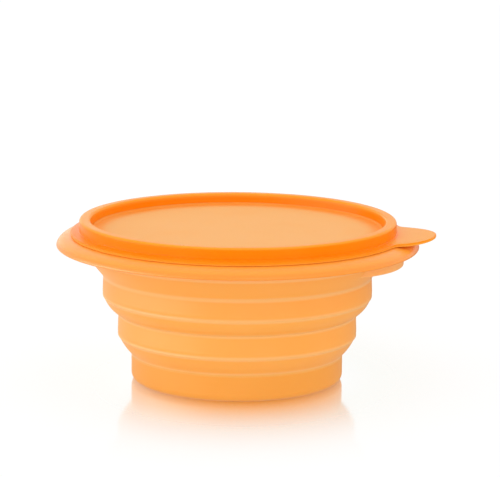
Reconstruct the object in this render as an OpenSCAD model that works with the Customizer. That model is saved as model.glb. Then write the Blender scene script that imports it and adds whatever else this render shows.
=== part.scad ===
// Collapsible bowl with a lid, standing open.
// Millimetres, +Z up. The origin is the centre of the flat underside, and the lid's pull tab points to +X.
// Two mouldings: a bowl whose stiff rings are joined by thin webs that turn over, and a lid that grips its rim.

/* [Base cup] */
// Outer radius of the cup that the bowl stands on
base_r = 52.4; // [46:0.2:60]
// Height of the cup, up to the lower fold
base_h = 13.6; // [10:0.2:20]
// Wall of the cup
base_wall = 1.8; // [1.2:0.1:2.6]
// Thickness of the floor
floor_t = 2.0; // [1.2:0.1:3]
// Outer radius of the rounded bottom edge
base_corner = 3.5; // [2.5:0.5:8]

/* [Folds] */
// Height of the web between base cup and lower ring
lower_fold_h = 9.1; // [7:0.1:12]
// How far that web bulges out from a straight line
lower_bulge = 0.6; // [0.2:0.1:1.4]
// Height of the web between lower ring and upper ring
upper_fold_h = 8.6; // [7:0.1:12]
// How far that web bulges out from a straight line
upper_bulge = 1.2; // [0.2:0.1:1.6]
// Thickness of both webs where they meet the ring above
fold_wall = 1.0; // [0.6:0.1:1.4]

/* [Rings] */
// How far the lower ring stands out beyond the base cup
lower_step = 6.8; // [5:0.2:8.5]
// Height of the lower ring
lower_ring_h = 11.3; // [8:0.1:15]
// How far the upper ring stands out beyond the lower ring
upper_step = 7.5; // [5.5:0.1:9]
// Height of the upper ring
upper_ring_h = 10.4; // [8:0.1:14]
// Wall of both rings
ring_wall = 1.8; // [1.4:0.1:2.6]
// How much each ring narrows from its foot to its top
ring_draft = 0.3; // [0:0.1:0.8]
// How far each ring's foot is drawn in
ring_foot_in = 0.4; // [0.1:0.1:1]
// Height over which the foot is drawn in
ring_foot_h = 2.4; // [1:0.1:4]

/* [Shoulder and rim] */
// Height of the flared wall above the upper ring
shoulder_h = 18.7; // [14:0.1:24]
// How far the rim stands out beyond the upper ring
shoulder_flare = 9.75; // [8:0.05:14]
// Height above the upper ring at which the flare is aimed before it turns upright
shoulder_turn = 10.9; // [8:0.1:13]
// Wall of the shoulder, measured level
shoulder_wall = 1.8; // [1.2:0.1:2.4]
// Height of the sealing rim above the shoulder
rim_h = 7.0; // [5:0.1:9]
// Thickness of the sealing rim
rim_t = 2.0; // [1.6:0.1:2.6]

/* [Brim] */
// Width of the collar around the rim
brim_w = 13; // [9:0.2:16]
// How far the collar's edge hangs below its root
brim_drop = 4.4; // [2:0.1:7]
// Distance from the rim at which the droop is aimed
brim_turn = 11; // [5:0.5:12]
// Thickness of the collar
brim_t = 1.4; // [1:0.1:2]

/* [Finger tab] */
// Radius of the lug's round outline
finger_tab_r = 41.5; // [36:0.5:48]
// How far the lug reaches beyond the sealing rim
finger_tab_reach = 5.6; // [3:0.1:8]
// Height of the lug's underside above the upper ring
finger_tab_rise = 6.2; // [4:0.1:8]

/* [Lid] */
// Wall of the lid's hollow bead
lid_wall = 1.4; // [1:0.1:1.8]
// Gap between the sealing rim and the channel that grips it
lid_gap = 0.35; // [0.3:0.05:0.5]
// Depth of the lid's top below the bead
lid_recess = 5.5; // [4:0.1:7]
// How far the bead's inner wall leans in on its way down
lid_lean = 0.7; // [0.4:0.1:2]
// Thickness of the lid's top
panel_t = 1.3; // [0.9:0.1:2]
// Radius of the rounded edges along the bead's top
crown_round = 1.3; // [0.5:0.1:1.8]
// Width of the lip around the foot of the lid's upright outer wall
lip_w = 4.3; // [2:0.1:6]
// Thickness of the lip
lip_t = 1.2; // [0.9:0.1:1.8]
// How far the lip's edge hangs below its root
lip_droop = 0.5; // [0:0.1:0.8]
// Gap between the lip and the root of the brim
lip_gap = 0.35; // [0.2:0.05:1.5]

/* [Pull tab] */
// Radius of the tab's round end
pull_tab_r = 24.5; // [20:0.5:32]
// How far the tab reaches beyond the lip
pull_tab_reach = 15.2; // [10:0.2:20]
// Radius of the hollow corners where the tab leaves the lip
pull_tab_fillet = 5; // [3:1:10]

/* [Hidden] */
$fn = 96;
arc_steps = 12;

bowl_colour = [0.98, 0.64, 0.29];
lid_colour = [0.98, 0.50, 0.03];
panel_colour = [0.98, 0.73, 0.49];

// Radii of the zones, from the base cup outwards
lower_r = base_r + lower_step;
upper_r = lower_r + upper_step;
rim_r = upper_r + shoulder_flare;
brim_r = rim_r + brim_w;
lower_top_r = lower_r - ring_draft;
upper_top_r = upper_r - ring_draft;

// Heights of the zones, from the floor upwards
lower_ridge_z = base_h + lower_fold_h;
lower_top_z = lower_ridge_z + lower_ring_h;
upper_ridge_z = lower_top_z + upper_fold_h;
upper_top_z = upper_ridge_z + upper_ring_h;
shoulder_z = upper_top_z + shoulder_h;
rim_z = shoulder_z + rim_h;

// The lid's bead wraps the round top of the sealing rim
rim_mid_r = rim_r - rim_t / 2;
crown_z = rim_z - rim_t / 2;
channel_r = rim_t / 2 + lid_gap;
bead_in_r = rim_mid_r - channel_r - lid_wall;
bead_out_r = rim_mid_r + channel_r + lid_wall;
lid_top_z = crown_z + channel_r + lid_wall;
panel_z = lid_top_z - lid_recess - panel_t;
panel_r = bead_in_r - lid_lean;
lip_z = shoulder_z + brim_t + lip_gap;
lip_edge_z = lip_z - lip_droop;
lip_r = bead_out_r + lip_w;

// Points of an arc about a centre, from angle a to angle b
function arc(centre, r, a, b) = [
    for (i = [0:arc_steps]) let (t = a + (b - a) * i / arc_steps) centre + r * [cos(t), sin(t)]
];

// Points of a curve that leaves p0 towards p1 and arrives at p2 from p1
function bend(p0, p1, p2) = [
    for (i = [0:arc_steps]) let (t = i / arc_steps)
        (1 - t) * (1 - t) * p0 + 2 * t * (1 - t) * p1 + t * t * p2
];

function reversed(list) = [for (i = [len(list) - 1:-1:0]) list[i]];

// Curve from p0 up to p1 that bulges outwards from the straight line between them
function bulged(p0, p1, bulge) =
    let (run = (p1 - p0) / norm(p1 - p0))
    bend(p0, (p0 + p1) / 2 + 2 * bulge * [run[1], -run[0]], p1);

// Web from the top of one zone to the foot of the ring above. Its foot covers the zone below
module web(r_low, z_low, foot, r_high, z_high, bulge) {
    outside = bulged([r_low, z_low], [r_high, z_high], bulge);
    inside = bulged([r_low - foot, z_low], [r_high - fold_wall, z_high], bulge);
    rotate_extrude()
        polygon(concat(outside, reversed(inside)));
}

// Stiff ring with its foot drawn in
module ring(r, z, h) {
    outside = [[r - ring_foot_in, z], [r, z + ring_foot_h], [r - ring_draft, z + h]];
    rotate_extrude()
        polygon(concat(outside, [for (p = reversed(outside)) p - [ring_wall, 0]]));
}

// Outline of the shoulder, moved in by its wall for the inner face
function shoulder_curve(wall) = bend(
    [upper_top_r - wall, upper_top_z],
    [rim_r - wall, upper_top_z + shoulder_turn],
    [rim_r - wall, shoulder_z]
);

// Top of the collar, from its root at the sealing rim to its edge
function brim_curve() = bend(
    [rim_r, shoulder_z + brim_t],
    [rim_r + brim_turn, shoulder_z + brim_t],
    [brim_r - brim_t / 2, shoulder_z + brim_t - brim_drop]
);

// Round tab that stands out of a disc of radius disc_r, with hollow corners where it leaves the disc
module tab_outline(disc_r, tab_r, reach, corner_r) {
    tab_x = disc_r + reach - tab_r;
    disc_side = disc_r + corner_r;
    tab_side = tab_r + corner_r;
    corner_x = (disc_side * disc_side - tab_side * tab_side + tab_x * tab_x) / (2 * tab_x);
    corner_y = sqrt(disc_side * disc_side - corner_x * corner_x);
    difference() {
        union() {
            translate([tab_x, 0])
                circle(tab_r);
            polygon([[0, 0], [corner_x, -corner_y], [tab_x, 0], [corner_x, corner_y]]);
        }
        circle(disc_r);
        for (side = [-1, 1])
            translate([corner_x, side * corner_y])
                circle(corner_r);
    }
}

// Cup with a flat floor and a rounded bottom edge
module base_cup() {
    inner_corner = base_corner - base_wall;
    outside = arc([base_r - base_corner, base_corner], base_corner, -90, 0);
    inside = arc([base_r - base_corner, floor_t + inner_corner], inner_corner, -90, 0);
    color(bowl_colour)
        rotate_extrude()
            polygon(concat(
                [[0, 0]], outside, [[base_r, base_h], [base_r - base_wall, base_h]],
                reversed(inside), [[0, floor_t]]
            ));
}

module lower_fold() {
    color(bowl_colour)
        web(base_r, base_h, base_wall, lower_r - ring_foot_in, lower_ridge_z, lower_bulge);
}

module lower_ring() {
    color(bowl_colour)
        ring(lower_r, lower_ridge_z, lower_ring_h);
}

module upper_fold() {
    color(bowl_colour)
        web(lower_top_r, lower_top_z, ring_wall, upper_r - ring_foot_in, upper_ridge_z, upper_bulge);
}

module upper_ring() {
    color(bowl_colour)
        ring(upper_r, upper_ridge_z, upper_ring_h);
}

module shoulder() {
    color(bowl_colour)
        rotate_extrude()
            polygon(concat(shoulder_curve(0), reversed(shoulder_curve(shoulder_wall))));
}

// Upright lip with a round top
module sealing_rim() {
    color(bowl_colour)
        rotate_extrude() {
            translate([rim_r - rim_t, shoulder_z])
                square([rim_t, rim_h - rim_t / 2]);
            translate([rim_mid_r, crown_z])
                circle(rim_t / 2);
        }
}

// Collar that droops from the foot of the sealing rim to a round edge
module brim() {
    droop = brim_curve();
    above = [for (i = [0:arc_steps - 1]) droop[i]];
    below = [for (p = reversed(above)) p - [0, brim_t]];
    round_edge = arc(droop[arc_steps] - [0, brim_t / 2], brim_t / 2, 90, -90);
    color(bowl_colour)
        rotate_extrude()
            polygon(concat(above, round_edge, below));
}

// Lug below the lid's pull tab, in the corner between the shoulder and the collar
module finger_tab() {
    tab_x = rim_r + finger_tab_reach - finger_tab_r;
    low_z = upper_top_z + finger_tab_rise;
    collar_z = shoulder_z + brim_t;
    collar_below = [for (i = [1:arc_steps]) brim_curve()[i] - [0, brim_t]];
    color(bowl_colour)
        difference() {
            translate([tab_x, 0, low_z])
                cylinder(r = finger_tab_r, h = collar_z - brim_t / 2 - low_z);
            rotate_extrude()
                polygon(concat(
                    [[0, upper_top_z]], shoulder_curve(0), collar_below, [[brim_r, collar_z], [0, collar_z]]
                ));
        }
}

module lid_panel() {
    color(panel_colour)
        translate([0, 0, panel_z])
            cylinder(r = panel_r, h = panel_t);
}

// Hollow bead with a flat top, an inner wall down to the sunken top and an outer wall that ends in the lip
module lid_rim() {
    edge_z = lid_top_z - crown_round;
    outside = concat(
        [[panel_r, panel_z], [panel_r, panel_z + panel_t]],
        arc([bead_in_r + crown_round, edge_z], crown_round, 180, 90),
        arc([bead_out_r - crown_round, edge_z], crown_round, 90, 0),
        [[bead_out_r, lip_z + lip_t], [lip_r, lip_edge_z + lip_t], [lip_r, lip_edge_z]]
    );
    inside = concat(
        [[panel_r + lid_wall, panel_z]],
        arc([rim_mid_r, crown_z], channel_r, 180, 0),
        [[bead_out_r - lid_wall, lip_z]]
    );
    color(lid_colour)
        rotate_extrude()
            polygon(concat(outside, reversed(inside)));
}

module lid_pull_tab() {
    color(lid_colour)
        translate([0, 0, lip_edge_z])
            linear_extrude(lip_t)
                tab_outline(lip_r, pull_tab_r, pull_tab_reach, pull_tab_fillet);
}

base_cup();
lower_fold();
lower_ring();
upper_fold();
upper_ring();
shoulder();
sealing_rim();
brim();
finger_tab();
lid_panel();
lid_rim();
lid_pull_tab();
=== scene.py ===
"""Collapsible bowl with its lid on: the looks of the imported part, in metres, in the part's own frame."""
import math

import bpy
from mathutils import Matrix, Quaternion, Vector


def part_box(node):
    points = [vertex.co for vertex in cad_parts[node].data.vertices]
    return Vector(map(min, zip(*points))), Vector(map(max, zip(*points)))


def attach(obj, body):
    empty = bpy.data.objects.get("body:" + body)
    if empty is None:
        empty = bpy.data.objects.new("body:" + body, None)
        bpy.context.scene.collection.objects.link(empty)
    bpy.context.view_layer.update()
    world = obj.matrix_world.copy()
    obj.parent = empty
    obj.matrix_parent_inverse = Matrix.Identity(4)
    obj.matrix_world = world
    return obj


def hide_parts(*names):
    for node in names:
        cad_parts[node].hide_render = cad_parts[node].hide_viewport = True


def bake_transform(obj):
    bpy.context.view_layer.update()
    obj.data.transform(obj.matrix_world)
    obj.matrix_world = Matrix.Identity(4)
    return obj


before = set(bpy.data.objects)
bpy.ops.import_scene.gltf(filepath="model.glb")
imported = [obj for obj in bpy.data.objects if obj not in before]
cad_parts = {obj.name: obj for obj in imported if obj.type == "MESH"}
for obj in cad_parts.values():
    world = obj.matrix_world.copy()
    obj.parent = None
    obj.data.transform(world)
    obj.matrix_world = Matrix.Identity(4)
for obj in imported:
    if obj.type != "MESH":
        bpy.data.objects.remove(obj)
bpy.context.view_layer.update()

MM = 0.001


def reach(node):
    """(outer radius, lowest height, highest height) of a round CAD node."""
    low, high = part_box(node)
    return high.y, low.z, high.z


# Radii and heights of the zones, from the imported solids
base_r, floor_z, base_top = reach("base_cup")
lower_r, lower_ridge, lower_top = reach("lower_ring")
upper_r, upper_ridge, upper_top = reach("upper_ring")
rim_r, shoulder_top, rim_top = reach("sealing_rim")
brim_r, brim_low, brim_root = reach("brim")
panel_r, panel_low, panel_top = reach("lid_panel")
lip_r, lip_low, lid_top = reach("lid_rim")
tab_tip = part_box("lid_pull_tab")[1].x
lip_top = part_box("lid_pull_tab")[1].z
lug_low, lug_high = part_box("finger_tab")

# Walls and roundings of the bowl, with the brim's lean in degrees
base_wall = 1.8 * MM
base_floor = 2.0 * MM
base_corner = 3.5 * MM
web_wall = 1.0 * MM
lower_bulge = 0.6 * MM
upper_bulge = 1.2 * MM
ring_wall = 1.8 * MM
ring_draft = 0.3 * MM
ring_foot_in = 0.4 * MM
ring_foot_h = 2.4 * MM
shoulder_turn = 10.9 * MM
rim_wall = 2.0 * MM
brim_wall = 1.4 * MM
brim_lean = 16
brim_edge_r = 0.55 * MM
lug_r = 41.5 * MM
lug_round = 0.8 * MM
lug_sunk = 0.6 * MM

# The raised lines that run round the bowl where its zones meet, and one more below the brim
line_height = 0.35 * MM
line_half_width = 1.1 * MM
shoulder_line = upper_top + 10.8 * MM

# The second tone of the bowl's finishes, along the raised lines and the brim's edge, and over the lug,
# where it is painted light that lifts the shade under the brim
line_full = 0.4 * MM
line_gone = 1.6 * MM
lug_painted_fill = 0.8

# Walls and roundings of the lid, and where its fillet ends, in degrees
lid_wall = 1.4 * MM
rim_clearance = 0.35 * MM
bead_round = 1.3 * MM
lip_round = 0.45 * MM
lip_width = 4.3 * MM
lip_droop = 0.5 * MM
lip_edge_bead = 0.25 * MM
panel_fillet = 1.2 * MM
fillet_end = -8
tab_end_r = 24.5 * MM
tab_blend = 1.6 * MM
tab_curl = 1.0 * MM

# The lid's bead straddles the bowl's rim with a round channel
channel_r = rim_wall / 2 + rim_clearance
bead_out = lip_r - lip_width
bead_in = bead_out - 2 * (channel_r + lid_wall)
bead_middle = (bead_in + bead_out) / 2

# The lid's deep orange: its share on each zone, and the distances at which that share is full and gone. The
# crown's paler top is a painted sheen, and the paler underside of the lip and tab is painted light that
# lifts the shade beneath them
panel_rim_tone = 0.7
panel_rim_full = 2.0 * MM
panel_rim_gone = 9.5 * MM
skirt_full = 0.2 * MM
skirt_gone = 1.2 * MM
lip_tone = 0.85
lip_gone = 1.2 * MM
edge_tone = 0.8
edge_full = 0.2 * MM
edge_gone = 0.6 * MM
# Painted light: close above the lip's lower edge, the lip and tab are kept pale against the shade under
# them
unfilled_above = 0.7 * MM
painted_fill_below = 0.1 * MM
# Painted sheen: the crown's top keeps only this share of deep orange
crown_sheen_tone = 0.3
crown_inner_depth = 0.8 * MM
crown_outer_depth = 0.2 * MM
crown_sheen_fade = 1.1 * MM

# How finely the round pieces are turned, and how far apart the points of their outlines lie
turn_steps = 288
wall_pitch = 0.4 * MM
lip_pitch = 0.5 * MM
coarse_pitch = 1.0 * MM
panel_pitch = 3.0 * MM
floor_pitch = 4.0 * MM
arc_pitch = math.radians(11)
same_place = 0.001 * MM
smooth_angle = math.radians(40)


# Outlines, as points of (radius, height)

def straight(start, end, pitch=wall_pitch):
    """Points from start to end, a pitch apart."""
    start, end = Vector(start), Vector(end)
    count = max(1, round((end - start).length / pitch))
    return [start.lerp(end, i / count) for i in range(count + 1)]


def curve(start, handle, end, pitch=wall_pitch):
    """Points of a curve that leaves start towards handle and arrives at end from handle."""
    start, handle, end = Vector(start), Vector(handle), Vector(end)
    count = max(2, round((end - start).length / pitch))
    steps = [i / count for i in range(count + 1)]
    return [start.lerp(handle, t).lerp(handle.lerp(end, t), t) for t in steps]


def bulged(start, end, bulge):
    """Curve between two points that stands out from the straight line by bulge."""
    start, end = Vector(start), Vector(end)
    run = (end - start).normalized()
    # The curve reaches half as far out as its handle
    return curve(start, (start + end) / 2 + 2 * bulge * Vector((run.y, -run.x)), end)


def arc(centre, radius, first, last):
    """Points of an arc about centre, between two angles in degrees."""
    first, last = math.radians(first), math.radians(last)
    count = max(2, math.ceil(abs(last - first) / arc_pitch))
    angles = [first + (last - first) * i / count for i in range(count + 1)]
    return [Vector(centre) + radius * Vector((math.cos(a), math.sin(a))) for a in angles]


def raised(points, *lines):
    """The same outline, swollen outwards into a low bead at the height of each line."""
    swollen = []
    for point in points:
        near = min(abs(point.y - line) for line in lines) / line_half_width
        lift = line_height * math.cos(min(near, 1) * math.pi / 2) ** 2
        swollen.append(point + Vector((lift, 0)))
    return swollen


# Modelling by hand: a point is drawn out into an outline, and the outline is turned about the bowl's axis

def new_point(name):
    """A new piece that is a single point at the origin, in edit mode."""
    bpy.ops.object.select_all(action="DESELECT")
    bpy.ops.mesh.primitive_plane_add(size=MM)
    piece = bpy.context.object
    piece.name = name
    piece.data.name = name
    bpy.ops.object.mode_set(mode="EDIT")
    bpy.ops.mesh.select_all(action="SELECT")
    bpy.ops.mesh.merge(type="CENTER")
    return piece


def draw_out(points, closed):
    """Moves the point to the outline's start and extrudes it along the outline."""
    bpy.ops.transform.translate(value=points[0])
    for here, there in zip(points, points[1:]):
        bpy.ops.mesh.extrude_region_move(TRANSFORM_OT_translate={"value": there - here})
    bpy.ops.mesh.select_all(action="SELECT")
    if closed:
        bpy.ops.mesh.remove_doubles(threshold=same_place)


def finish_piece(piece):
    """Merges what meets, turns the faces outwards and smooths them."""
    bpy.ops.mesh.select_all(action="SELECT")
    bpy.ops.mesh.remove_doubles(threshold=same_place)
    bpy.ops.mesh.normals_make_consistent(inside=False)
    bpy.ops.object.mode_set(mode="OBJECT")
    bpy.ops.object.shade_smooth_by_angle(angle=smooth_angle)
    return piece


def turned(name, outline, closed=True):
    """A piece turned from its outline about the bowl's axis. An open one starts and ends on the axis."""
    piece = new_point(name)
    points = [Vector((p.x, 0, p.y)) for p in outline]
    if closed:
        points.append(points[0])
    draw_out(points, closed)
    bpy.ops.mesh.spin(steps=turn_steps, angle=math.tau, center=(0, 0, 0), axis=(0, 0, 1))
    return finish_piece(piece)


def paint(piece, name, values):
    """Stores a number on each point of the piece, for its material to read."""
    piece.data.attributes.new(name, "FLOAT", "POINT").data.foreach_set("value", values)


def fade(value, full, gone):
    """1 at full, 0 at gone, and smooth in between."""
    t = min(max((value - gone) / (full - gone), 0), 1)
    return t * t * (3 - 2 * t)


def paint_lines(piece, *lines):
    """Paints the wall with its second tone at these heights, fading on both sides."""
    heights = [v.co.z for v in piece.data.vertices]
    paint(piece, "line", [max(fade(abs(h - z), line_full, line_gone) for z in lines) for h in heights])


# The bowl's pieces

def make_base():
    """Stiff cup that the bowl stands on, with a raised line along its upper edge."""
    inner_corner = base_corner - base_wall
    outside = straight((0, floor_z), (base_r - base_corner, floor_z), floor_pitch)
    outside += arc((base_r - base_corner, floor_z + base_corner), base_corner, -90, 0)
    outside += straight((base_r, floor_z + base_corner), (base_r, base_top))[1:]
    inside_r = base_r - base_wall
    inside = straight((inside_r, base_top), (inside_r, base_floor + inner_corner), coarse_pitch)
    inside += arc((base_r - base_corner, base_floor + inner_corner), inner_corner, 0, -90)[1:]
    inside += straight((base_r - base_corner, base_floor), (0, base_floor), floor_pitch)[1:]
    piece = turned("base_moulding", raised(outside, base_top) + inside, closed=False)
    paint_lines(piece, base_top)
    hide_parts("base_cup")
    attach(piece, "base")
    return piece


def make_web(name, node, low, high, foot, bulge):
    """Thin web from the top of one stiff zone to the foot of the ring above. It turns over when pressed."""
    outside = raised(bulged(low, high, bulge), low[1], high[1])
    inside = bulged((low[0] - foot, low[1]), (high[0] - web_wall, high[1]), bulge)
    piece = turned(name, outside + inside[::-1])
    paint_lines(piece, low[1], high[1])
    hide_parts(node)
    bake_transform(piece)
    return piece


def make_ring(name, node, radius, ridge, top, body):
    """Stiff ring with its foot drawn in and a raised line along both edges."""
    foot = (radius - ring_foot_in, ridge)
    knee = (radius, ridge + ring_foot_h)
    head = (radius - ring_draft, top)
    outside = curve(foot, (radius, ridge + ring_foot_h / 2), knee) + straight(knee, head)[1:]
    inside = straight((head[0] - ring_wall, top), (foot[0] - ring_wall, ridge), coarse_pitch)
    piece = turned(name, raised(outside, ridge, top) + inside)
    paint_lines(piece, ridge, top)
    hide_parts(node)
    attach(piece, body)
    return piece


def shoulder_side(inset):
    """Flared wall of the bowl from the upper ring to the rim, moved in by inset."""
    return curve(
        (upper_r - ring_draft - inset, upper_top),
        (rim_r - inset, upper_top + shoulder_turn),
        (rim_r - inset, shoulder_top),
    )


def make_shoulder():
    """Flared wall that runs on into the upright lip with its round top."""
    crown = rim_top - rim_wall / 2
    outside = raised(shoulder_side(0), upper_top, shoulder_line)
    outside += straight((rim_r, shoulder_top), (rim_r, crown), coarse_pitch)[1:]
    round_top = arc((rim_r - rim_wall / 2, crown), rim_wall / 2, 0, 180)[1:]
    inside = straight((rim_r - rim_wall, crown), (rim_r - rim_wall, shoulder_top), coarse_pitch)[1:]
    inside += shoulder_side(rim_wall)[::-1][1:]
    piece = turned("shoulder_and_lip", outside + round_top + inside)
    paint_lines(piece, upper_top, shoulder_line)
    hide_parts("shoulder", "sealing_rim")
    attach(piece, "upper_bowl")
    return piece


def brim_side(edge, depth):
    """Curve of the drooping collar from its root to a point of its edge, at a depth below its top face."""
    root = brim_root - depth
    handle = edge[0] - (root - edge[1]) * math.tan(math.radians(brim_lean))
    return curve((rim_r - rim_wall / 2, root), (handle, root), edge)


def make_brim():
    """Thin collar that droops from the foot of the lip to a rounded edge."""
    edge = arc((brim_r - brim_edge_r, brim_low + brim_edge_r), brim_edge_r, brim_lean, brim_lean - 180)
    above = brim_side(edge[0], 0)
    below = brim_side(edge[-1], brim_wall)[::-1]
    piece = turned("drooping_brim", above + edge[1:-1] + below)
    radii = [v.co.xy.length for v in piece.data.vertices]
    paint(piece, "line", [fade(r, brim_r - line_full, brim_r - line_gone) for r in radii])
    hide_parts("brim")
    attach(piece, "upper_bowl")
    return piece


def make_lug():
    """Round lug below the lid's pull tab, in the corner between the shoulder and the collar."""
    top = brim_root + brim_wall
    outline = straight((0, lug_low.z), (lug_r - lug_round, lug_low.z), floor_pitch)
    outline += arc((lug_r - lug_round, lug_low.z + lug_round), lug_round, -90, 0)[1:]
    outline += straight((lug_r, lug_low.z + lug_round), (lug_r, brim_root), coarse_pitch)[1:]
    outline.append(Vector((0, brim_root)))
    piece = turned("finger_lug", outline, closed=False)
    piece.data.transform(Matrix.Translation((lug_high.x - lug_r, 0, 0)))
    bowl = [Vector((0, upper_top))] + shoulder_side(lug_sunk)
    collar = brim_side((brim_r - brim_edge_r, brim_low + lug_sunk), brim_wall - lug_sunk)
    bowl += [p for p in collar if p.x > rim_r] + [Vector((brim_r, top)), Vector((0, top))]
    cutter = turned("lug_cutter", bowl, closed=False)
    cut = piece.modifiers.new("cut", "BOOLEAN")
    cut.operation = "DIFFERENCE"
    cut.object = cutter
    bpy.context.view_layer.objects.active = piece
    bpy.ops.object.modifier_apply(modifier=cut.name)
    bpy.ops.object.select_all(action="DESELECT")
    cutter.select_set(True)
    bpy.ops.object.delete()
    # Painted light: the whole lug takes the paler tone, lifting the shade it sits in under the brim
    paint(piece, "line", [lug_painted_fill] * len(piece.data.vertices))
    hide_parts("finger_tab")
    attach(piece, "upper_bowl")
    return piece


# The lid's pieces

def make_lid_panel():
    """Sunken top of the lid, with a soft fillet and a deeper rim where it meets the bead's inner wall."""
    face = straight((0, panel_top), (panel_r - panel_fillet, panel_top), panel_pitch)
    fillet = arc((panel_r - panel_fillet, panel_top + panel_fillet), panel_fillet, -90, fillet_end)[1:]
    under = straight((panel_r, panel_low), (0, panel_low), panel_pitch)
    piece = turned("lid_panel_sheet", face + fillet + under, closed=False)
    full, gone = panel_r - panel_rim_full, panel_r - panel_rim_gone
    radii = [v.co.xy.length for v in piece.data.vertices]
    paint(piece, "deep", [panel_rim_tone * fade(r, full, gone) for r in radii])
    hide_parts("lid_panel")
    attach(piece, "lid")
    return piece


def bead_outline():
    """Inner wall, flat top, upright skirt and drooping lip of the bead, and the channel below."""
    edge_z = lid_top - bead_round
    lip_foot = lip_top + lip_droop
    edge_low = lip_low - lip_edge_bead
    under = lip_low + lip_droop
    inside_r = bead_out - lid_wall
    crown = lid_top - lid_wall - channel_r
    outline = straight((panel_r, panel_low), (panel_r, panel_top), coarse_pitch)
    outline += straight((panel_r, panel_top), (bead_in, edge_z), coarse_pitch)[1:]
    outline += arc((bead_in + bead_round, edge_z), bead_round, 180, 90)[1:]
    outline += arc((bead_out - bead_round, edge_z), bead_round, 90, 0)
    outline += straight((bead_out, edge_z), (bead_out, lip_foot + lip_round), coarse_pitch)[1:]
    outline += arc((bead_out + lip_round, lip_foot + lip_round), lip_round, 180, 270)[1:]
    outline += straight((bead_out + lip_round, lip_foot), (lip_r - lip_round, lip_top), lip_pitch)[1:]
    outline += arc((lip_r - lip_round, lip_top - lip_round), lip_round, 90, 0)[1:]
    outline += arc((lip_r - lip_round, edge_low + lip_round), lip_round, 0, -90)
    outline += straight((lip_r - lip_round, edge_low), (inside_r, under), lip_pitch)[1:]
    outline += straight((inside_r, under), (inside_r, crown), coarse_pitch)[1:]
    outline += arc((bead_middle, crown), channel_r, 0, 180)[1:]
    outline += straight((bead_middle - channel_r, crown), (panel_r + lid_wall, panel_low), coarse_pitch)[1:]
    return outline


def tab_reach(angle):
    """Radius of the lid's outline at an angle: the lip all round, and the pull tab about the X axis."""
    centre = tab_tip - tab_end_r
    across = centre * math.sin(angle)
    if abs(across) >= tab_end_r or math.cos(angle) < 0:
        return lip_r
    tab = centre * math.cos(angle) + math.sqrt(tab_end_r ** 2 - across ** 2)
    return (lip_r + tab + math.sqrt((lip_r - tab) ** 2 + tab_blend ** 2)) / 2


def bead_tone(radius, height, pull):
    """Share of deep orange on the bead: full on its walls, less on the lip, least on the crown, whose paler
    top is a painted sheen. The undersides of the lip and tab stay pale as painted light against the shade
    there. The tab's paleness is partly its own colour and partly a painted sheen.
    """
    skirt = fade(radius, bead_out + skirt_full, bead_out + skirt_gone)
    lip = lip_tone * fade(pull, 0, lip_gone)
    edge = edge_tone * fade(radius, lip_r - edge_full, lip_r - edge_gone)
    # Painted light: the undersides of the lip and tab lose their deep orange, lifting the shade there
    upper = fade(height, lip_low + unfilled_above, lip_low + painted_fill_below)
    # Painted sheen: the crown's top turns pale
    sheen_depth = crown_inner_depth if radius < bead_middle else crown_outer_depth
    crown = fade(lid_top - height, sheen_depth, sheen_depth + crown_sheen_fade)
    return max(skirt, lip * upper, edge * upper) * (1 - crown) + crown_sheen_tone * crown


def make_lid_bead():
    """Hollow bead with its skirt, and the lip that widens into the pull tab, which curls up a little."""
    piece = turned("lid_bead_and_tab", bead_outline())
    stretch_from, stretch_to = bead_out + 2 * lip_round, lip_r - 2 * lip_round
    tones = []
    for vertex in piece.data.vertices:
        radius, height = vertex.co.xy.length, vertex.co.z
        share = min(max((radius - stretch_from) / (stretch_to - stretch_from), 0), 1)
        pull = tab_reach(math.atan2(vertex.co.y, vertex.co.x)) - lip_r
        vertex.co.xy *= (radius + share * pull) / radius
        vertex.co.z += tab_curl * (max(vertex.co.xy.length - lip_r, 0) / (tab_tip - lip_r)) ** 2
        tones.append(bead_tone(radius, height, pull))
    paint(piece, "deep", tones)
    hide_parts("lid_rim", "lid_pull_tab")
    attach(piece, "lid")
    return piece


# Finishes. Clouds and a matt grain, in waves to the metre, vary the plastic's tone, roughness and relief
cloud_waves = 38.0
cloud_detail = 3.0
cloud_tone = 0.3
cloud_roughness = 0.1
grain_waves = 900.0
grain_detail = 2.0
grain_roughness = 0.06
grain_depth = 0.05 * MM


class Wire:
    """A number on its way through a finish's nodes. Arithmetic on it adds Math nodes."""

    def __init__(self, finish, socket):
        self.finish = finish
        self.socket = socket

    def math(self, operation, first, second):
        """The result of a new Math node."""
        return self.finish.node("ShaderNodeMath", {"operation": operation}, {0: first, 1: second})

    def __add__(self, other):
        return self.math("ADD", self, other)

    def __sub__(self, other):
        return self.math("SUBTRACT", self, other)

    def __rsub__(self, other):
        return self.math("SUBTRACT", other, self)

    def __mul__(self, other):
        return self.math("MULTIPLY", self, other)

    def __pow__(self, other):
        return self.math("POWER", self, other)

    def __rpow__(self, other):
        return self.math("POWER", other, self)

    __radd__, __rmul__ = __add__, __mul__


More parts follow.
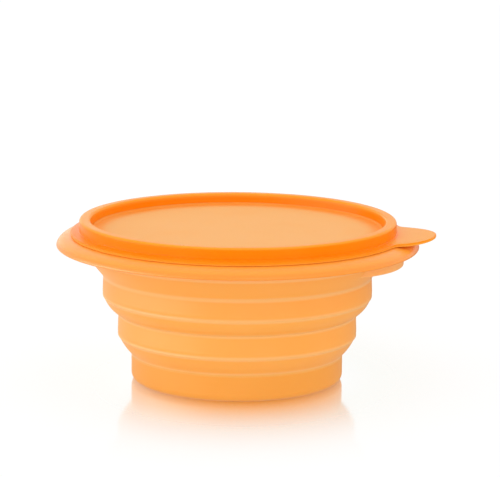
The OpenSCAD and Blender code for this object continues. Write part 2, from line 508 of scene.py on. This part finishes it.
class Finish:
    """A material or world under construction."""

    def __init__(self, owner):
        owner.use_nodes = True
        self.owner = owner
        self.tree = owner.node_tree
        self.tree.nodes.clear()

    def node(self, kind, settings=None, sockets=None, output=0):
        """A new node: its settings first, then its sockets' values or links. Returns one of its outputs."""
        node = self.tree.nodes.new(kind)
        for name, value in (settings or {}).items():
            setattr(node, name, value)
        for name, value in (sockets or {}).items():
            if isinstance(value, Wire):
                self.tree.links.new(value.socket, node.inputs[name])
            else:
                node.inputs[name].default_value = value
        return Wire(self, node.outputs[output])

    def mix(self, factor, first, second):
        """A colour between first and second."""
        return self.node("ShaderNodeMix", {"data_type": "RGBA"}, {0: factor, 6: first, 7: second}, 2)

    def mix_shaders(self, factor, first, second):
        """A shader between first and second."""
        return self.node("ShaderNodeMixShader", None, {0: factor, 1: first, 2: second})

    def noise(self, place, waves, detail):
        """Smooth noise from 0 to 1, with so many waves to the metre."""
        return self.node("ShaderNodeTexNoise", None, {"Vector": place, "Scale": waves, "Detail": detail})

    def close(self, kind, shader):
        """Ends the nodes in an output of this kind."""
        output = self.tree.nodes.new(kind)
        self.tree.links.new(shader.socket, output.inputs["Surface"])


def linear(red, green, blue):
    """A colour given as 0 to 255 on screen, as Blender's nodes take it."""
    parts = [c / 255 for c in (red, green, blue)]
    return (*[c / 12.92 if c <= 0.04045 else ((c + 0.055) / 1.055) ** 2.4 for c in parts], 1)


def grey(level):
    """A grey from 0 for black to 1 for white, as Blender's nodes take it."""
    return (level, level, level, 1)


def moulded(name, body, second, attribute, roughness, grain, ior):
    """Moulded plastic: two tones by an attribute, cloudy variation, a fine matt grain."""
    finish = Finish(bpy.data.materials.new(name))
    place = finish.node("ShaderNodeTexCoord", output="Object")
    tone = finish.node("ShaderNodeAttribute", {"attribute_name": attribute}, output="Fac")
    cloud = finish.noise(place, cloud_waves, cloud_detail)
    fine = finish.noise(place, grain_waves, grain_detail)
    colour = finish.mix(tone + (cloud - 0.5) * cloud_tone, body, second)
    bump = finish.node("ShaderNodeBump", None, {"Strength": grain, "Distance": grain_depth, "Height": fine})
    shader = finish.node("ShaderNodeBsdfPrincipled", None, {
        "Base Color": colour,
        "Roughness": roughness + (cloud - 0.5) * cloud_roughness + (fine - 0.5) * grain_roughness,
        "Normal": bump,
        "IOR": ior,
        "Subsurface Weight": 0.2,
        "Subsurface Radius": (1.0, 0.7, 0.4),
        "Subsurface Scale": 1.5 * MM,
    })
    finish.close("ShaderNodeOutputMaterial", shader)
    return finish.owner


def wear(piece, finish):
    """Gives the piece this finish and no other."""
    piece.data.materials.clear()
    piece.data.materials.append(finish)


# The bowl from its base upwards, then the lid
base_piece = make_base()
lower_web = make_web(
    "lower_web", "lower_fold", (base_r, base_top), (lower_r - ring_foot_in, lower_ridge), base_wall,
    lower_bulge,
)
lower_band = make_ring("lower_band", "lower_ring", lower_r, lower_ridge, lower_top, "middle_ring")
upper_web = make_web(
    "upper_web", "upper_fold", (lower_r - ring_draft, lower_top), (upper_r - ring_foot_in, upper_ridge),
    ring_wall, upper_bulge,
)
upper_band = make_ring("upper_band", "upper_ring", upper_r, upper_ridge, upper_top, "upper_bowl")
shoulder = make_shoulder()
brim = make_brim()
lug = make_lug()
lid_panel = make_lid_panel()
lid_bead = make_lid_bead()

soft_wall = moulded(
    "soft_orange_wall", linear(254, 170, 72), linear(254, 184, 106), "line",
    roughness=0.42, grain=0.35, ior=1.4,
)
soft_base = moulded(
    "soft_orange_base", linear(242, 162, 66), linear(248, 176, 90), "line",
    roughness=0.42, grain=0.35, ior=1.3,
)
thin_brim = moulded(
    "thin_orange_brim", linear(254, 158, 50), linear(246, 148, 44), "line",
    roughness=0.34, grain=0.2, ior=1.45,
)
lid_sheet = moulded(
    "frosted_lid_sheet", linear(246, 176, 104), linear(252, 138, 0), "deep",
    roughness=0.6, grain=0.4, ior=1.2,
)
lid_gloss = moulded(
    "deep_orange_bead", linear(249, 165, 58), linear(254, 134, 0), "deep",
    roughness=0.3, grain=0.2, ior=1.14,
)

for piece in (lower_web, lower_band, upper_web, upper_band, shoulder, lug):
    wear(piece, soft_wall)
wear(base_piece, soft_base)
wear(brim, thin_brim)
wear(lid_panel, lid_sheet)
wear(lid_bead, lid_gloss)


# The stage: floor, light and camera. The camera stands a few degrees round towards the pull tab
view_turn = math.radians(6)
camera_place = (0, -1.2865, 0.3136)
camera_aim = (0.006, 0, 0.0704)
camera_roll = math.radians(0.53)
camera_lens = 190.87
camera_sensor = 36
lamp_aim = Vector((0, 0, 40 * MM))

# The floor mirrors the bowl's foot, less to the sides and least to the left. Near the foot it is also
# painted with the bowl's warm glow and a soft shadow.
# The mirror and the painted glow fall off over their own lengths, and nothing of them is left after
# fade_lengths
floor_width = 12
mirror_edge = base_r - 4 * MM
mirror_shift = -5.5 * MM
mirror_stretch = 1.28
mirror_fade = 45 * MM
glow_fade = 48 * MM
fade_power = 1.5
fade_lengths = 12
painted_glow_and_shadow = (0.76, 0.82, 0.74, 1)

# In the bowl's own sheen the floor is white up to this far left of the bowl, and dim from as far right
dim_from = 0.2
dim_light = 0.25


def staged(place):
    """A place given as the camera sees it, right, away and up, turned with the camera about the axis."""
    return Quaternion((0, 0, 1), view_turn) @ Vector(place)


def faded(finish, distance, length):
    """1 up to the bowl's foot, and falling off smoothly beyond it."""
    lengths_off = finish.node("ShaderNodeMapRange", None, {
        "Value": distance,
        "From Min": mirror_edge,
        "From Max": mirror_edge + fade_lengths * length,
        "To Max": fade_lengths,
    })
    return math.e ** (0 - lengths_off ** fade_power)


def make_floor():
    """White floor with a faint mirror image and a painted warm glow and shadow at the bowl's foot. It
    lights the bowl softly from below.
    """
    bpy.ops.object.select_all(action="DESELECT")
    bpy.ops.mesh.primitive_plane_add(size=floor_width)
    floor = bpy.context.object
    floor.name = "studio_floor"
    finish = Finish(bpy.data.materials.new("white_floor"))
    place = finish.node("ShaderNodeTexCoord", output="Object")
    shaped = finish.node("ShaderNodeMapping", None, {
        "Vector": place, "Location": (mirror_shift, 0, 0), "Scale": (mirror_stretch, 1, 1),
    })
    distance = finish.node("ShaderNodeVectorMath", {"operation": "LENGTH"}, {0: shaped}, "Value")
    mirror = faded(finish, distance, mirror_fade)
    glow = faded(finish, distance, glow_fade)
    gloss = finish.node("ShaderNodeBsdfGlossy", None, {"Color": grey(1.0), "Roughness": 0.1})
    sheet = finish.node("ShaderNodeBsdfPrincipled", None, {
        "Base Color": grey(0.16),
        "Roughness": 0.9,
        "IOR": 1.02,
        # Painted warm glow and shadow on the floor round the bowl's foot, as the camera sees it
        "Emission Color": finish.mix(glow, grey(0.85), painted_glow_and_shadow),
        "Emission Strength": 1.0,
    })
    bounce = finish.node("ShaderNodeBsdfPrincipled", None, {
        "Base Color": grey(0.45),
        "Roughness": 0.9,
        "IOR": 1.02,
        "Emission Color": grey(0.5),
        "Emission Strength": 1.0,
    })
    across = finish.node("ShaderNodeSeparateXYZ", None, {0: place}, "X")
    dimming = finish.node("ShaderNodeMapRange", None, {
        "Value": across, "From Min": -dim_from, "From Max": dim_from,
    })
    white = finish.node("ShaderNodeEmission", None, {"Color": grey(1.0), "Strength": 1.0})
    dim = finish.node("ShaderNodeEmission", None, {"Color": grey(dim_light), "Strength": 1.0})
    in_view = finish.node("ShaderNodeLightPath", output="Is Camera Ray")
    in_sheen = finish.node("ShaderNodeLightPath", output="Is Glossy Ray")
    shown = finish.mix_shaders(mirror, sheet, gloss)
    lighting = finish.mix_shaders(in_sheen, bounce, finish.mix_shaders(dimming, white, dim))
    finish.close("ShaderNodeOutputMaterial", finish.mix_shaders(in_view, lighting, shown))
    wear(floor, finish.owner)


def make_world():
    """Even white light from all round."""
    world = bpy.data.worlds.new("white_studio")
    bpy.context.scene.world = world
    finish = Finish(world)
    shader = finish.node("ShaderNodeBackground", None, {"Color": grey(1.0), "Strength": 1.0})
    finish.close("ShaderNodeOutputWorld", shader)


def make_lamp(name, place, width, height, power, only_reflected=False):
    """A softbox aimed at the bowl. One that is only reflected shows as a sheen and adds no other light."""
    place = staged(place)
    bpy.ops.object.light_add(type="AREA", location=place)
    lamp = bpy.context.object
    lamp.name = name
    lamp.data.shape = "RECTANGLE"
    lamp.data.size = width
    lamp.data.size_y = height
    lamp.data.energy = power
    lamp.visible_diffuse = not only_reflected
    lamp.rotation_mode = "QUATERNION"
    lamp.rotation_quaternion = (lamp_aim - place).to_track_quat("-Z", "Y")


def make_camera():
    """Camera at the photograph's viewing angle, rolled a little."""
    eye = staged(camera_place)
    bpy.ops.object.camera_add(location=eye)
    camera = bpy.context.object
    camera.data.lens = camera_lens
    camera.data.sensor_width = camera_sensor
    camera.rotation_mode = "QUATERNION"
    turn = (staged(camera_aim) - eye).to_track_quat("-Z", "Y")
    camera.rotation_quaternion = turn @ Quaternion((0, 0, 1), camera_roll)
    bpy.context.scene.camera = camera


make_floor()
make_world()
make_lamp("left_softbox", (-1.1, -0.2, 0.3), width=1.2, height=0.5, power=2.4)
make_lamp("left_sheen", (-1.1, -0.35, 0.18), width=1.8, height=0.34, power=12.0, only_reflected=True)
make_lamp("back_sheen", (-0.45, 1.6, 0.2), width=0.7, height=0.3, power=0.6, only_reflected=True)
make_lamp("front_fill", (0.5, -1.5, 0.5), width=1.2, height=1.2, power=3.5)
make_camera()
bpy.context.scene.view_settings.view_transform = "Standard"
